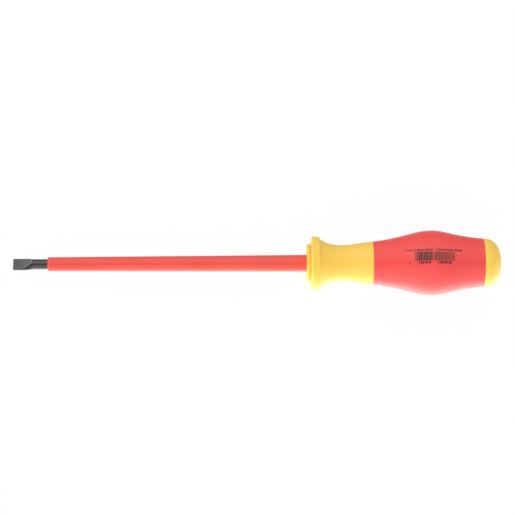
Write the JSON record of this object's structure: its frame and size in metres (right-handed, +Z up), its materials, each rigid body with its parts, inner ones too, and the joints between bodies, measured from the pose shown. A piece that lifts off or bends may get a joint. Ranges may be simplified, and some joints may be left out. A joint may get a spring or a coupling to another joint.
{
  "type": "insulated screwdriver",
  "caption": "Insulated slotted screwdriver: ground steel blade in a tapered red sleeve, and a yellow handle with a guard flange, waisted neck, swelling red grip and domed butt.",
  "frame": {"origin": "centre of the end face of the blade's tip, on the tool's long axis", "axes": "+X along the tool from the blade's tip to the butt, +Z up as the tool lies with its printed panel on top, +Y to the side"},
  "size_m": [0.25, 0.0332, 0.0332],
  "materials": {
    "blade_steel": "dark burnished bar, ground satin tip",
    "sleeve_red": "smooth semi-gloss moulded insulation",
    "core_yellow": "smooth semi-gloss hard plastic",
    "grip_red": "smooth semi-gloss overmoulding",
    "print_ink": "thin dull printing ink"
  },
  "bodies": {
    "root": {"blade": "blade_steel", "shank_sleeve": "sleeve_red", "handle_core": "core_yellow", "grip_shell": "grip_red", "grip_print": "print_ink"}
  },
  "joints": []
}
